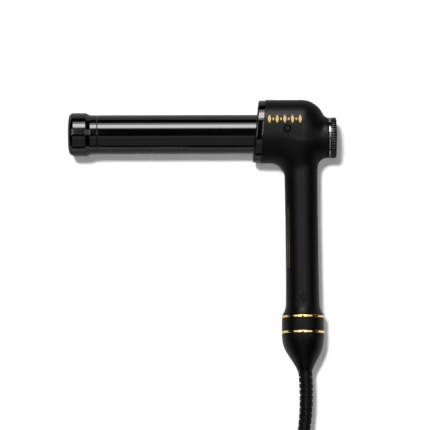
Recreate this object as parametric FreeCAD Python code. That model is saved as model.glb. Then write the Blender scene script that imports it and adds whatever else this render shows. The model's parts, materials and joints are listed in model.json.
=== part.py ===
"""Corded curling wand with a right-angle handle, modelled in millimetres.

Working coordinates: X along the barrel (tip at -X, temperature dial at +X), Y along the
handle (head at +Y, cord at -Y), Z up from the table.  The wand lies on its side, so every
main axis is at Z = 0 here; SHIFT then moves the finished pieces into the saved frame.
"""
import FreeCAD, Part
import math
import os
from FreeCAD import Vector

# ---- driving dimensions --------------------------------------------------------------
SHIFT = Vector(80.9, 114.95, 21.0)       # working origin (head centre) in the saved frame
FLOOR = -21.0                            # table height in working coordinates
AX = Vector(1, 0, 0)
AY = Vector(0, 1, 0)
AZ = Vector(0, 0, 1)

# barrel
BARREL_Y = -2.0
BARREL_R = 15.875                        # 1-1/4 in curling barrel
BARREL_WALL = 1.1
BARREL_START = -167.7                    # seam between cool tip and tube
BARREL_END = -21.0
TIP_END = -192.3
TIP_R = 17.7
TIP_BEAD_R = 3.9                         # rounding of the bead at the very end
SPIGOT_END = -160.0                      # the tip's spigot reaches this far into the tube

# head
HEAD_H = 26.1                            # half height (Y)
HEAD_D = 21.0                            # half depth (Z)
HEAD_POWER = 2.3                         # squareness of the section
HEAD_FLAT_END = 1.2                      # the straight part of the head stops here
HEAD_END_R = 19.4                        # rounding of the dial end
COLLAR_FRONT = -36.8
COLLAR_BACK = -30.7
COLLAR_SLANT = 5.6                       # degrees
WALL = 2.2

# dial
DIAL_Y = -5.2
NECK_R = 16.6
NECK_END = 23.6
TRIM_END = 25.2
DIAL_START = 25.5
DIAL_END = 30.0
DIAL_R = 16.7
DIAL_TEETH = 48
DIAL_GROOVE_R = 0.75                     # round grooves between the teeth
BEZEL_R = 13.12
DIAL_BORE = 13.2
BUTTON_DY = -6.2                         # power button below the dial axis

# handle
GRIP_R = 13.65
FLARE_R = 17.2
SHELL_END = -152.8
RING_R = 17.5
BAND_R = 17.35
RING_UPPER = (-152.8, -155.0)
BAND = (-155.0, -165.6)
RING_LOWER = (-165.6, -167.9)
SLEEVE_R = 12.5
SLEEVE_START = -146.5
SLEEVE_END = -176.0
TAIL_X = 1.6                             # axis of the rings, band and sleeve
BOARD_X = 1.0                            # middle of the control board

# tail and swivel
CORD_X = 3.0                             # swivel axis
CAP_TOP = -167.9
CAP_MOUTH = -198.3
HOLDER_X = 2.0                           # axis of the brush holder
HOLDER_R = 11.2
HOLDER_END = -183.9
NECK_PIN_R = 4.2
NECK_BORE_R = 4.28
RELIEF_START = -198.6
RELIEF_END = -256.0
RELIEF_R0 = 5.4
RELIEF_R1 = 5.0
SLOT_PITCH = 2.45
SLOT_ROWS = 21

# screws that join the two shells
SCREWS = ((-10.9, -0.6, 20.6), (1.4, -138.7, 13.35))

# cord
CORD_R = 3.2
CORD_Z = FLOOR + CORD_R + 0.1
COIL_CENTRE = (-52.5, -325.0)
COIL_MEAN_R = 38.0
COIL_TURNS = 9.25                        # all layers together, wound clockwise from +X
COIL_LAYERS = 4
COIL_STEP = 6.6                          # spacing of neighbouring turns and layers
COIL_HALF = COIL_STEP * COIL_TURNS / COIL_LAYERS / 2
COIL_OUTER = COIL_MEAN_R + COIL_HALF     # centre-line radius of the outermost turn
COIL_TOP_Z = CORD_Z + COIL_STEP * (COIL_LAYERS - 1)
TIE_ANGLE = 135.0                        # where the strap sits round the coil, in degrees
LEAD_ROUTE = ((1.0, -257.0, 0.0), (-1.4, -270.0, -2.0), (-3.7, -284.0, -7.6), (-5.5, -299.0, -13.6),
              (-6.8, -313.0, -17.0), (COIL_CENTRE[0] + COIL_OUTER, COIL_CENTRE[1], CORD_Z))
PLUG_BACK = (-117.0, -374.6, FLOOR + 8.5)
TAIL_ROUTE = ((COIL_CENTRE[0], COIL_CENTRE[1] - COIL_OUTER, COIL_TOP_Z), (-65.0, -371.4, 0.8),
              (-79.0, -373.0, -4.0), (-93.5, -374.1, -9.4), (-106.0, -374.6, -12.0), PLUG_BACK)

# mains plug
PLUG_LENGTH = 43.0
BLADE_SPACING = 12.7
BLADE_T = 1.5
BLADE_LENGTH = 17.2

# ---- small helpers -------------------------------------------------------------------


def cyl(axis, start, end, radius, u=0.0, v=0.0):
    """Cylinder along one axis; u and v are the other two coordinates in XYZ order."""
    length = end - start
    base = {"x": Vector(start, u, v), "y": Vector(u, start, v), "z": Vector(u, v, start)}[axis]
    direction = {"x": AX, "y": AY, "z": AZ}[axis]
    solid = Part.makeCylinder(radius, length, base, direction)
    solid.rotate(base, direction, 40)            # keeps the seam line off the shell split
    return solid


def tube(axis, start, end, r_in, r_out, u=0.0, v=0.0):
    """Straight tube along one axis."""
    return cyl(axis, start, end, r_out, u, v).cut(cyl(axis, start - 1, end + 1, r_in, u, v))


def box(x0, x1, y0, y1, z0, z1):
    """Box from its six face positions."""
    return Part.makeBox(x1 - x0, y1 - y0, z1 - z0, Vector(x0, y0, z0))


def rounded(shape, radius, axis=None):
    """Round the edges of a simple solid, or only those parallel to one axis."""
    edges = shape.Edges
    if axis is not None:
        edges = [e for e in edges if abs(e.tangentAt(e.FirstParameter).dot(axis)) > 0.99]
    return shape.makeFillet(radius, edges)


def one_solid(shape):
    """The single solid held in a boolean result."""
    assert len(shape.Solids) == 1, "expected one solid, got %d" % len(shape.Solids)
    return shape.Solids[0]


def save(name, *shapes):
    """Write one node; several separate solids become one compound."""
    solids = []
    for shape in shapes:
        solids.extend(shape.Solids)
    for solid in solids:
        assert solid.isValid() and solid.Volume > 0, name
    result = solids[0] if len(solids) == 1 else Part.makeCompound(solids)
    result = result.copy()
    result.translate(SHIFT)
    result.exportStep("parts/%s.step" % name)


def closed_curve(points):
    """Smooth closed wire through points."""
    curve = Part.BSplineCurve()
    curve.interpolate(Points=points, PeriodicFlag=True)
    return Part.Wire([curve.toShape()])


def oval(centre, half_a, half_b, plane, power=2.0, count=32):
    """Superellipse wire; plane "x" spans Y and Z, plane "y" spans X and Z."""
    points = []
    for i in range(count):
        angle = 2 * math.pi * i / count
        a = half_a * math.copysign(abs(math.sin(angle)) ** (2 / power), math.sin(angle))
        b = half_b * math.copysign(abs(math.cos(angle)) ** (2 / power), math.cos(angle))
        offset = Vector(0, a, b) if plane == "x" else Vector(a, 0, b)
        points.append(centre + offset)
    return closed_curve(points)


def revolve(section, origin, axis):
    """Solid of revolution from the corner points of its half section."""
    wire = Part.makePolygon(section + [section[0]])
    solid = Part.Face(wire).revolve(origin, axis, 360)
    return solid.Solids[0] if solid.Solids else Part.Solid(solid.Shells[0])


def slanted_box(x_at_zero, side):
    """Half space bounded by the slanted collar plane; side -1 is the barrel side of it."""
    size = 200.0
    x0, x1 = (-size, 0) if side < 0 else (0, size)
    block = box(x0, x1, -size, size, -size, size)
    block.rotate(Vector(0, 0, 0), AZ, -COLLAR_SLANT)
    block.translate(Vector(x_at_zero, 0, 0))
    return block


def bend_path(points):
    """Wire of straight runs joined by tangent arcs; returns the wire and its arc radii."""
    edges = []
    radii = []
    start = points[0]
    for before, corner, after in zip(points, points[1:], points[2:]):
        run_in = corner - before
        run_out = after - corner
        shorter = min(run_in.Length, run_out.Length)
        u = Vector(run_in).normalize()
        w = Vector(run_out).normalize()
        turn = u.getAngle(w)
        reach = 0.45 * shorter
        radius = reach / math.tan(turn / 2)
        a = corner - u * reach
        b = corner + w * reach
        inward = (w - u).normalize()
        middle = corner + inward * (radius / math.cos(turn / 2) - radius)
        edges.append(Part.LineSegment(start, a).toShape())
        edges.append(Part.Arc(a, middle, b).toShape())
        radii.append(radius)
        start = b
    edges.append(Part.LineSegment(start, points[-1]).toShape())
    return Part.Wire(edges), radii


def swept(points, radius, label=None):
    """Round tube solid along a bent path; a label prints its smallest bend and volume error."""
    wire, radii = bend_path(points)
    tangent = (points[1] - points[0]).normalize()
    profile = Part.Wire([Part.makeCircle(radius, points[0], tangent)])
    solid = wire.makePipeShell([profile], True, False)
    if label is not None:
        expected = math.pi * radius ** 2 * wire.Length
        print("%s: length %.1f, smallest radius %.1f, volume ratio %.4f"
              % (label, wire.Length, min(radii), solid.Volume / expected))
    return solid


# ---- outer body of head and handle ---------------------------------------------------


def lean(y):
    """Sideways place of the handle's centre line, which leans a little towards the dial."""
    return 0.4 - 0.0077 * y


def side_reach(y, inset):
    """Left and right X of the handle blend at height y, with a fillet into head and neck."""
    left_r = 11.0 + inset
    right_r = 7.5 + inset
    left = -GRIP_R + inset
    right = GRIP_R - inset
    rise = min(y + 37.1, 0.93 * left_r)
    if rise > 0:
        left = -GRIP_R - 11.0 + math.sqrt(left_r ** 2 - rise ** 2)
    rise = min(y + 29.4, 0.93 * right_r)
    if rise > 0:
        right = GRIP_R + 7.5 - math.sqrt(right_r ** 2 - rise ** 2)
    return left, right


def grip_radius(y):
    """Radius of the waisted grip and of its flare at height y."""
    waist = 13.42 + 0.43 * ((y + 82.0) / 61.0) ** 2
    if y > -143.0:
        return min(waist, GRIP_R)
    flare = (-143.0 - y) / (-143.0 - SHELL_END)
    return waist + (FLARE_R - waist) * flare ** 2.2


def handle(inset):
    """One loft for the round grip and its blend into the head; a cavity ends in a plain bore."""
    heights = [SHELL_END, -150.8, -148.8, -146.8, -144.8, -142.8, -140.8, -136.0]
    heights += [-128.0 + 8.0 * i for i in range(11)]
    heights += [-44.0, -41.0, -38.5, -36.0, -34.0, -32.0, -30.0, -28.0, -26.2, -24.4, -22.5, -19.0, -14.0]
    wires = []
    for y in heights:
        left, right = side_reach(y, inset)
        radius = grip_radius(y) - inset
        if inset > 0:
            radius = min(radius, SLEEVE_R - 1.05)
        left += GRIP_R - inset - radius
        right -= GRIP_R - inset - radius
        depth = radius + 3.2 * max(0.0, (y + 31.0) / 17.0) ** 1.4
        centre = Vector((left + right) / 2 + lean(y), y, 0)
        wires.append(oval(centre, (right - left) / 2, depth, "y"))
    return Part.makeLoft(wires, True, False)


def head(inset, dial_end):
    """Head block, rounded dial end and round dial neck."""
    half_h = HEAD_H - inset
    half_d = HEAD_D - inset
    section = oval(Vector(-50, 0, 0), half_h, half_d, "x", HEAD_POWER)
    block = Part.Face(section).extrude(Vector(50 + HEAD_FLAT_END, 0, 0))
    radius = HEAD_END_R - inset
    wires = []
    for angle in range(0, 81, 10):
        turn = math.radians(angle)
        drop = radius * (1 - math.cos(turn))
        centre = Vector(HEAD_FLAT_END + radius * math.sin(turn), 0, 0)
        wires.append(oval(centre, half_h - drop, half_d - 0.9 * drop, "x", HEAD_POWER))
    dome = Part.makeLoft(wires, True, False)
    neck = cyl("x", 5.0, dial_end, NECK_R - inset, DIAL_Y)
    return block.fuse([dome, neck])


def body(inset, dial_end):
    """Head and handle as one solid."""
    return one_solid(head(inset, dial_end).fuse(handle(inset)))


def cross_plate(x0, x1, hole_r, hole_y):
    """Stiffening rib across the head with a round hole."""
    section = oval(Vector(x0, 0, 0), HEAD_H - 1.0, HEAD_D - 1.0, "x", HEAD_POWER)
    plate = Part.Face(section).extrude(Vector(x1 - x0, 0, 0))
    return plate.cut(cyl("x", x0 - 1, x1 + 1, hole_r, hole_y))


def shells():
    """Front and rear half shells with ribs, bosses and screw holes."""
    outer = body(0.0, NECK_END)
    cavity = body(WALL, NECK_END + 1)
    whole = outer.cut(cavity)
    whole = whole.cut(tube_space())
    ribs = [cross_plate(-17.9, -16.4, 12.0, BARREL_Y).cut(box(-20, -10, -30, -14, -30, 30)),
            cross_plate(2.4, 3.9, 9.2, DIAL_Y).cut(box(0, 10, -40, -16.2, -30, 30)),
            cross_plate(9.0, 10.4, 14.5, DIAL_Y).common(outer).cut(box(0, 20, -40, -20.5, -8, 8))]
    bosses = [cyl("z", -surface - 0.2 + 1.0, surface - 1.0, 4.0, x, y) for x, y, surface in SCREWS]
    whole = whole.fuse(ribs + bosses)
    for x, y, surface in SCREWS:
        whole = whole.cut(cyl("z", -9.0, 1.0, 1.5, x, y))
        whole = whole.cut(cyl("z", 0.0, 7.0, 1.6, x, y))
        whole = whole.cut(cyl("z", 6.0, 30.0, 2.7, x, y))
        whole = whole.cut(tube("z", surface - 0.3, 30.0, 2.6, 3.3, x, y))
    whole = whole.cut(slanted_box(COLLAR_BACK, -1))
    front = one_solid(whole.cut(box(-100, 100, -300, 100, -50, 0)))
    rear = one_solid(whole.cut(box(-100, 100, -300, 100, 0, 50)))
    save("front_shell", front)
    save("rear_shell", rear)


def tube_space():
    """Room for the tail sleeve and its locking ridge inside the grip."""
    space = cyl("y", SHELL_END - 1, SLEEVE_START, SLEEVE_R, TAIL_X)
    return space.fuse(cyl("y", -149.6, -147.9, 13.4, TAIL_X))


def shell_fasteners():
    """Screws joining the shells and the plugs over them."""
    screws = []
    plugs = []
    for x, y, surface in SCREWS:
        shaft = cyl("z", -8.0, 6.0, 1.5, x, y)
        slot = box(x - 2.0, x + 2.0, y - 0.35, y + 0.35, 7.2, 9.0)
        screws.append(shaft.fuse(cyl("z", 6.0, 8.2, 2.6, x, y)).cut(slot))
        plug = cyl("z", surface - 2.6, surface, 2.6, x, y)
        plugs.append(plug.makeFillet(0.4, [plug.Edges[0]]))
    save("shell_screws", *screws)
    save("screw_plugs", *plugs)


# ---- barrel --------------------------------------------------------------------------


def barrel():
    """Heated tube."""
    save("barrel_tube", tube("x", BARREL_START, BARREL_END, BARREL_R - BARREL_WALL, BARREL_R, BARREL_Y))


def barrel_tip():
    """Cool tip with a bead, a neck and a spigot inside the tube."""
    section = [(TIP_END, 0.0), (TIP_END + 0.15, 7.0), (TIP_END + 0.6, 11.5), (TIP_END + 1.2, 14.0)]
    for step in range(0, 6):
        angle = math.radians(60 - 12 * step)
        section.append((TIP_END + 4.4 - TIP_BEAD_R * math.sin(angle),
                        TIP_R - TIP_BEAD_R + TIP_BEAD_R * math.cos(angle)))
    section += [(-178.4, TIP_R), (-177.0, 17.55), (-175.4, 17.0), (-173.8, 16.3), (-172.2, BARREL_R)]
    section += [(BARREL_START - 0.1, BARREL_R), (BARREL_START - 0.1, BARREL_R - BARREL_WALL)]
    section += [(SPIGOT_END, BARREL_R - BARREL_WALL), (SPIGOT_END, 12.4), (-186.5, 12.4), (-188.5, 10.0)]
    section += [(-188.5, 4.5), (SPIGOT_END, 4.5), (SPIGOT_END, 0.0)]
    points = [Vector(x, BARREL_Y + r, 0) for x, r in section]
    tip = revolve(points, Vector(0, BARREL_Y, 0), AX)
    save("barrel_tip", tip.cut(cyl("x", -176.0, -159.0, 2.0, BARREL_Y)))
    save("tip_insulator", tube("x", SPIGOT_END, -156.5, 2.0, BARREL_R - BARREL_WALL, BARREL_Y))
    screw = cyl("x", -175.0, -156.5, 2.0, BARREL_Y).fuse(cyl("x", -156.5, -153.8, 3.6, BARREL_Y))
    slot = box(-154.8, -153.0, BARREL_Y - 2.6, BARREL_Y + 2.6, -0.45, 0.45)
    save("tip_screw", screw.cut(slot))


def heater():
    """PTC heating stack clamped between two aluminium spreaders."""
    radius = BARREL_R - BARREL_WALL
    save("ptc_heater", box(-140, -70, BARREL_Y - 6, BARREL_Y + 6, -1.25, 1.25))
    plates = [box(-142, -60, BARREL_Y - 6, BARREL_Y + 6, z, z + 0.4) for z in (-1.65, 1.25)]
    save("electrode_plates", *plates)
    for name, sign in (("heat_spreader_front", 1), ("heat_spreader_rear", -1)):
        round_bar = cyl("x", -150, -58, radius, BARREL_Y)
        half = box(-160, -50, -30, 30, 1.65, 30) if sign > 0 else box(-160, -50, -30, 30, -30, -1.65)
        save(name, one_solid(round_bar.common(half).cut(cyl("x", -151, -57, 4.5, BARREL_Y, 8.0 * sign))))
    bead = cyl("x", -68, -60, 1.2, BARREL_Y, 11.25)
    save("thermistor", bead.makeFillet(0.5, bead.Edges[0:1]))
    fuse = cyl("x", -74, -62, 2.0, BARREL_Y, -10.45)
    save("thermal_fuse", fuse.fuse(cyl("x", -78, -58, 0.5, BARREL_Y, -10.45)))


def carrier_and_collar():
    """Heat resistant carrier inside the head and the glossy collar in front of it."""
    seat = tube("x", -36, BARREL_END, BARREL_R, 18.5, BARREL_Y)
    wall = tube("x", BARREL_END, -18.0, 9.5, 18.5, BARREL_Y)
    save("barrel_carrier", one_solid(seat.fuse(wall).cut(slanted_box(COLLAR_BACK, -1))))
    section = oval(Vector(-60, 0, 0), HEAD_H - 0.5, HEAD_D - 0.5, "x", HEAD_POWER)
    plate = Part.Face(section).extrude(Vector(50, 0, 0))
    plate = plate.cut(slanted_box(COLLAR_FRONT, -1)).cut(slanted_box(COLLAR_BACK, 1))
    front_edge = [e for e in plate.Edges if e.BoundBox.YLength > 40 and e.CenterOfMass.x < -35]
    plate = plate.makeFillet(1.5, front_edge)
    save("heat_collar", plate.cut(cyl("x", -60, -10, BARREL_R, BARREL_Y)))


# ---- dial end ------------------------------------------------------------------------


def dial():
    """Knurled temperature ring that turns on the fixed bezel, with its encoder ring."""
    ring = cyl("x", DIAL_START, DIAL_END, DIAL_R, DIAL_Y)
    outer_edge = [e for e in ring.Edges if abs(e.BoundBox.XMax - DIAL_END) < 0.01 and e.Length > 50]
    ring = ring.makeFillet(0.9, outer_edge)
    cutters = []
    for tooth in range(DIAL_TEETH):
        groove = cyl("x", DIAL_START + 0.5, DIAL_END - 0.35, DIAL_GROOVE_R, DIAL_Y + DIAL_R + 0.1)
        groove.rotate(Vector(0, DIAL_Y, 0), AX, tooth * 360.0 / DIAL_TEETH)
        cutters.append(groove)
    ring = ring.cut(Part.makeCompound(cutters))
    ring = ring.fuse(cyl("x", 7.0, DIAL_START, 14.2, DIAL_Y))
    save("temp_dial", one_solid(ring.cut(cyl("x", 0, 40, DIAL_BORE, DIAL_Y))))
    encoder = tube("x", 7.0, 8.5, 14.2, 16.4, DIAL_Y)
    windows = []
    for i in range(12):
        window = box(6, 9, DIAL_Y + 15.0, DIAL_Y + 15.9, -0.9, 0.9)
        window.rotate(Vector(0, DIAL_Y, 0), AX, i * 30.0)
        windows.append(window)
    save("encoder_ring", encoder.cut(Part.makeCompound(windows)))
    save("dial_trim_ring", tube("x", NECK_END, TRIM_END, 14.5, NECK_R, DIAL_Y))


def display():
    """Fixed bezel with lens, digits, board and switch behind it, and the power button."""
    bezel = tube("x", 4.0, DIAL_END, 10.6, BEZEL_R, DIAL_Y).fuse(tube("x", 4.0, 6.0, 10.6, 15.0, DIAL_Y))
    save("display_bezel", bezel.cut(cyl("x", 28.8, 31.0, 12.1, DIAL_Y)))
    y_button = DIAL_Y + BUTTON_DY
    save("display_lens", cyl("x", 28.8, 29.9, 12.1, DIAL_Y).cut(cyl("x", 28, 31, 2.66, y_button)))
    save("display_module", box(24.0, 28.7, DIAL_Y - 1.0, DIAL_Y + 7.0, -6.5, 6.5))
    save("display_board", cyl("x", 22.4, 24.0, 10.6, DIAL_Y))
    save("microcontroller", box(21.3, 22.4, DIAL_Y - 3.5, DIAL_Y + 3.5, -3.5, 3.5))
    switch = box(24.0, 26.4, y_button - 2.5, y_button + 2.5, -2.5, 2.5)
    save("tact_switch", switch.cut(cyl("x", 24.6, 27.0, 1.35, y_button)))
    button = cyl("x", 27.5, 30.5, 2.6, y_button)
    button = button.makeFillet(0.35, [e for e in button.Edges if e.BoundBox.XMin > 30.4])
    button = button.fuse([cyl("x", 27.5, 28.4, 3.3, y_button), cyl("x", 25.6, 27.5, 1.1, y_button)])
    save("power_button", button)


# ---- electronics in the grip ---------------------------------------------------------


def power_board():
    """Mains control board with its components."""
    tab = box(-5, 5, -52.0, -46.0, -1.4, 0.0)
    choke_base = cyl("z", -1.4, 0.0, 2.2, 0, -90.0)
    pieces = {
        "power_board": box(-8.5, 8.5, -132.0, -36.0, -3.0, -1.4),
        "terminal_block": box(-8.4, 1.2, -43.0, -36.0, -1.4, 5.0),
        "triac": box(-5, 5, -61.0, -52.0, -1.4, 3.1).fuse(tab).cut(cyl("z", -2, 1, 1.8, 0, -48.9)),
        "filter_capacitor": rounded(box(-6.5, 6.5, -78.0, -66.0, -1.4, 6.0), 0.8, AZ),
        "choke": tube("z", -1.4, 6.2, 2.2, 5.6, 0, -90.0).fuse(choke_base),
        "relay": rounded(box(-8.2, 0.8, -122.0, -102.0, -1.4, 6.6), 0.6, AZ),
        "mains_fuse": cyl("y", -123.0, -102.0, 2.6, 5.2, 1.2),
        "buzzer": tube("z", -7.2, -3.0, 0.8, 4.6, 0, -58.0).cut(cyl("z", -6.2, -4.0, 3.8, 0, -58.0)),
    }
    for name, shape in pieces.items():
        shape.translate(Vector(BOARD_X, 0, 0))
        save(name, shape)


def leads():
    """Internal wiring."""
    heater_pairs = (((-57.9, -9.0, 2.0), (-7.0, -9.0, 2.0), (-7.0, -36.0, 2.0)),
                    ((-57.9, -6.0, 2.0), (-3.4, -6.0, 2.0), (-3.4, -36.0, 2.0)))
    save("heater_leads", *[lead(points, 1.1, 5.0) for points in heater_pairs])
    save("sensor_leads", lead(((-57.9, -7.0, -3.5), (-5.2, -7.0, -3.5), (-5.2, -35.9, -3.5)), 0.8, 5.0))
    save("display_leads", lead(((22.4, -10.4, 2.0), (-0.2, -10.4, 2.0), (-0.2, -36.0, 2.0)), 0.9, 3.5))
    mains = [cyl("y", -176.2, -132.0, 1.1, x, -2.2) for x in (BOARD_X - 7.2, BOARD_X + 7.2)]
    save("mains_leads", *mains)


def lead(points, radius, bend):
    """Insulated wire with one right-angle bend."""
    start, corner, end = [Vector(*p) for p in points]
    u = (corner - start).normalize()
    w = (end - corner).normalize()
    a = corner - u * bend
    b = corner + w * bend
    middle = corner + (w - u).normalize() * (bend * (math.sqrt(2) - 1))
    wire = Part.Wire([Part.LineSegment(start, a).toShape(), Part.Arc(a, middle, b).toShape(),
                      Part.LineSegment(b, end).toShape()])
    profile = Part.Wire([Part.makeCircle(radius, start, u)])
    return wire.makePipeShell([profile], True, False)


# ---- tail of the grip ----------------------------------------------------------------


def tail():
    """Sleeve, two gold rings, the band between them and the rounded end cap."""
    sleeve = tube("y", SLEEVE_END, SLEEVE_START, 10.5, SLEEVE_R, TAIL_X)
    locking_ridge = tube("y", -149.5, -148.0, 10.5, 13.3, TAIL_X)
    save("tail_sleeve", sleeve.fuse(locking_ridge))
    for name, span in (("gold_ring_upper", RING_UPPER), ("gold_ring_lower", RING_LOWER)):
        ring = cyl("y", span[1], span[0], RING_R, TAIL_X)
        ring = ring.makeFillet(0.5, [e for e in ring.Edges if e.Length > 100 and e.BoundBox.YLength < 0.01])
        save(name, ring.cut(cyl("y", span[1] - 1, span[0] + 1, SLEEVE_R, TAIL_X)))
    save("handle_band", tube("y", BAND[1], BAND[0], SLEEVE_R, BAND_R, TAIL_X))
    save("end_cap", end_cap())


def end_cap():
    """Hollow cap that narrows to the cord, its axis easing over from the grip to the swivel."""
    section = ((0, 17.5), (5.5, 17.2), (8.8, 16.65), (12.1, 15.9), (13.8, 15.3), (17.1, 13.7),
               (20.4, 11.75), (22.1, 10.75), (25.4, 8.65), (28.0, 7.2), (CAP_TOP - CAP_MOUTH, 6.2))
    wires = []
    for depth, radius in section:
        t = min(max((depth - 4.0) / (CAP_TOP - CAP_MOUTH - 4.0), 0.0), 1.0)
        centre = Vector(TAIL_X + (CORD_X - TAIL_X) * t * t * (3 - 2 * t), CAP_TOP - depth, 0)
        wires.append(Part.Wire([Part.makeCircle(radius, centre, AY)]))
    cap = Part.makeLoft(wires, True, False)
    cap = cap.cut(cyl("y", SLEEVE_END, CAP_TOP + 1, SLEEVE_R, TAIL_X))
    cap = cap.cut(cyl("y", HOLDER_END, -175.0, HOLDER_R, HOLDER_X))
    cap = cap.cut(cyl("y", -187.7, -183.0, 8.0, CORD_X))
    cap = cap.cut(cyl("y", -200, -187, NECK_BORE_R, CORD_X))
    dimples = [cyl("z", 5.2, 9.0, 0.65, CORD_X + 0.6 + side * 2.0, CAP_MOUTH + 1.5) for side in (-1, 1)]
    return one_solid(cap.cut(dimples[0]).cut(dimples[1]))


def swivel():
    """Parts of the cord swivel: fixed brush holder and the turning group."""
    holder = cyl("y", HOLDER_END, -176.2, HOLDER_R, HOLDER_X).cut(cyl("y", -190, -170, 7.5, CORD_X))
    save("brush_holder", holder)
    brushes = []
    for y, side in ((-181.0, 1), (-178.0, -1)):
        x_inner = CORD_X + side * 5.5
        x_outer = CORD_X + side * 7.3
        brushes.append(box(min(x_inner, x_outer), max(x_inner, x_outer), y - 0.8, y + 0.8, -1.5, 1.5))
    save("contact_brushes", *brushes)
    save("slip_ring_rotor", cyl("y", -184.2, -175.0, 4.4, CORD_X))
    save("slip_rings", *[tube("y", y - 0.9, y + 0.9, 4.4, 5.2, CORD_X) for y in (-181.0, -178.0)])
    save("swivel_collar", tube("y", -187.4, -184.2, CORD_R, 7.5, CORD_X))
    save("inner_cord", cyl("y", RELIEF_END, -184.2, CORD_R, CORD_X))
    section = [(CORD_R, -187.4), (NECK_PIN_R, -187.4), (NECK_PIN_R, RELIEF_START), (RELIEF_R0, RELIEF_START),
               (RELIEF_R1, RELIEF_END + 0.5), (RELIEF_R1 - 0.5, RELIEF_END), (CORD_R, RELIEF_END)]
    relief = revolve([Vector(CORD_X + r, y, 0) for r, y in section], Vector(CORD_X, 0, 0), AY)
    cutters = []
    for row in range(SLOT_ROWS):
        y = RELIEF_START - 5.0 - SLOT_PITCH * row
        ring = tube("y", y - 0.6, y + 0.6, 3.9, 8.0, CORD_X)
        if row % 2:
            bridges = box(CORD_X - 9, CORD_X + 9, y - 1, y + 1, -1.6, 1.6)
        else:
            bridges = box(CORD_X - 1.6, CORD_X + 1.6, y - 1, y + 1, -9, 9)
        cutters.append(ring.cut(bridges))
    save("strain_relief", one_solid(relief.cut(Part.makeCompound(cutters))))


# ---- cord ----------------------------------------------------------------------------


def cord():
    """Cord from the strain relief to the coil, the tied coil and the free end."""
    cx, cy = COIL_CENTRE
    lead_tube = swept([Vector(*p) for p in LEAD_ROUTE], CORD_R, "cord_lead")
    tail_tube = swept([Vector(*p) for p in TAIL_ROUTE], CORD_R, "cord_tail")
    save("cord_lead", lead_tube)
    save("cord_tail", tail_tube)
    r_out = COIL_OUTER + CORD_R
    r_in = COIL_MEAN_R - COIL_HALF - CORD_R
    z_low = CORD_Z - CORD_R
    z_high = COIL_TOP_Z + CORD_R
    ring = tube("z", z_low, z_high, r_in, r_out, cx, cy)
    ring = ring.makeFillet(2.4, [e for e in ring.Edges if e.Length > 60 and e.BoundBox.ZLength < 0.01])
    save("cord_coil", one_solid(ring.cut([lead_tube, tail_tube])))
    strap = box(r_in - 1.2, r_out + 1.2, -5.0, 5.0, z_low, z_high + 1.2)
    strap = strap.makeFillet(2.6, [e for e in strap.Edges if e.BoundBox.YLength > 9 and e.BoundBox.ZMin > 0])
    strap.rotate(Vector(0, 0, 0), AZ, TIE_ANGLE)
    strap.translate(Vector(cx, cy, 0))
    save("cord_tie", one_solid(strap.cut(ring)))


def plug():
    """Moulded two-pin plug lying on its flat side at the free end of the cord."""
    x, y, z = PLUG_BACK
    sections = ((0.0, 4.6, 4.4), (8.0, 5.4, 5.0), (14.0, 8.0, 6.2), (20.0, 11.8, 7.6),
                (26.0, 13.0, 8.2), (41.0, 13.4, 8.4), (PLUG_LENGTH, 12.6, 7.8))
    wires = [oval(Vector(x - reach, y, z), half_w, half_t, "x", 3.0) for reach, half_w, half_t in sections]
    plug_body = Part.makeLoft(wires, True, True)
    plug_body = plug_body.cut(cyl("x", x - 12, x + 1, CORD_R, y, z))
    face = x - PLUG_LENGTH
    root = face + 8.0
    blades = []
    for side, half_w in ((-1, 3.175), (1, 3.95)):
        y_blade = y + side * BLADE_SPACING / 2
        y0 = y_blade - BLADE_T / 2
        y1 = y_blade + BLADE_T / 2
        plug_body = plug_body.cut(box(face - 1, root, y0, y1, z - half_w, z + half_w))
        blade = box(face - BLADE_LENGTH, root, y0, y1, z - half_w, z + half_w)
        blades.append(blade.cut(cyl("y", y_blade - 2, y_blade + 2, 1.6, face - 13.5, z)))
    save("plug_body", one_solid(plug_body))
    save("plug_blades", *blades)


def main():
    """Build every piece and write one STEP file for each."""
    os.makedirs("parts", exist_ok=True)
    shells()
    shell_fasteners()
    barrel()
    barrel_tip()
    heater()
    carrier_and_collar()
    dial()
    display()
    power_board()
    leads()
    tail()
    swivel()
    cord()
    plug()


main()
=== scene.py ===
"""Blender look of the curling wand: camera and light first, then the cord, then every visible piece."""
import bpy
import bmesh
import json
import math
import numpy as np
from mathutils import Matrix, Vector

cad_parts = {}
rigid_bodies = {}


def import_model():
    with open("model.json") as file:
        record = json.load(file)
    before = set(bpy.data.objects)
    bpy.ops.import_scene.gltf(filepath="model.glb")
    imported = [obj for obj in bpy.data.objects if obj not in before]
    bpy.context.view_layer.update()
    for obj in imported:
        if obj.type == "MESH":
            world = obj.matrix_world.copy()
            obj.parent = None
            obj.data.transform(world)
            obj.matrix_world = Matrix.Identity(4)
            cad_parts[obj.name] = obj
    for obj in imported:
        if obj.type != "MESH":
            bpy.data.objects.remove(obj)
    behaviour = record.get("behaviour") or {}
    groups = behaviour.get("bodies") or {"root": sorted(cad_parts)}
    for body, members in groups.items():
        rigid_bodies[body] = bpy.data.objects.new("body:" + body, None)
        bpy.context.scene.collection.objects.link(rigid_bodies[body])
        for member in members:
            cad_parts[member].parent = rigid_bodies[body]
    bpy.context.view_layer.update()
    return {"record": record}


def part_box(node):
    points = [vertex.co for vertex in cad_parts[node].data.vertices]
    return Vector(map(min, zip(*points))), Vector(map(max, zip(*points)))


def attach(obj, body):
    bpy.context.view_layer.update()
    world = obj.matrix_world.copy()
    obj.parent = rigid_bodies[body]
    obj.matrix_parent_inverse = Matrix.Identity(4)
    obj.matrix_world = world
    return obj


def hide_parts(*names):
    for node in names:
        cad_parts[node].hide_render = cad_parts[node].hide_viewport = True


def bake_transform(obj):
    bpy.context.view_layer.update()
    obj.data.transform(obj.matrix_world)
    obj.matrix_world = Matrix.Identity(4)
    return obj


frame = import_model()

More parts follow.
